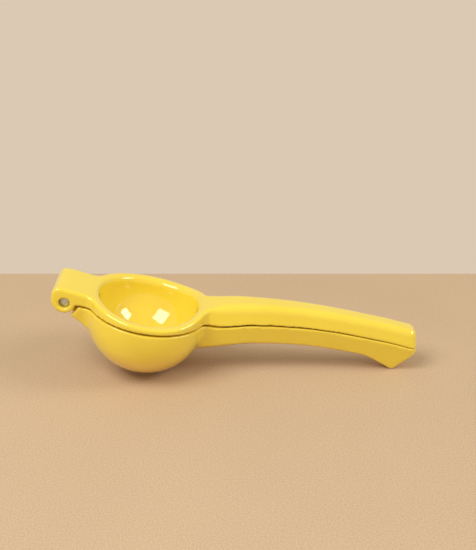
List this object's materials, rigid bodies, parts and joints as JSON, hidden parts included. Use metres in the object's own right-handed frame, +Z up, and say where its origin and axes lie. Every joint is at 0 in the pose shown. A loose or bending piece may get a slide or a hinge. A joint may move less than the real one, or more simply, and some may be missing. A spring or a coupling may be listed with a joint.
{
  "type": "hinged lemon squeezer",
  "caption": "Handheld citrus press: a strainer bowl and a hollow press cup on two long handles, hinged by a steel pin.",
  "frame": {"origin": "on the table under the middle of the closed tool's box", "axes": "+X along the tool from the hinge to the handle ends, +Y away from the viewer of the picture, +Z up"},
  "size_m": [0.218, 0.073, 0.0596],
  "materials": {
    "enamel": "glossy yellow enamel",
    "pin_steel": "satin"
  },
  "bodies": {
    "lower_arm": {"lower_arm": "enamel"},
    "upper_arm": {"upper_arm": "enamel", "hinge_pin": "pin_steel"}
  },
  "joints": [
    {"name": "arm_hinge", "type": "hinge", "parent": "lower_arm", "child": "upper_arm", "pos_m": [-0.10131, 0, 0.04997], "axis": [0, -1, 0], "range_deg": [0, 108]}
  ]
}
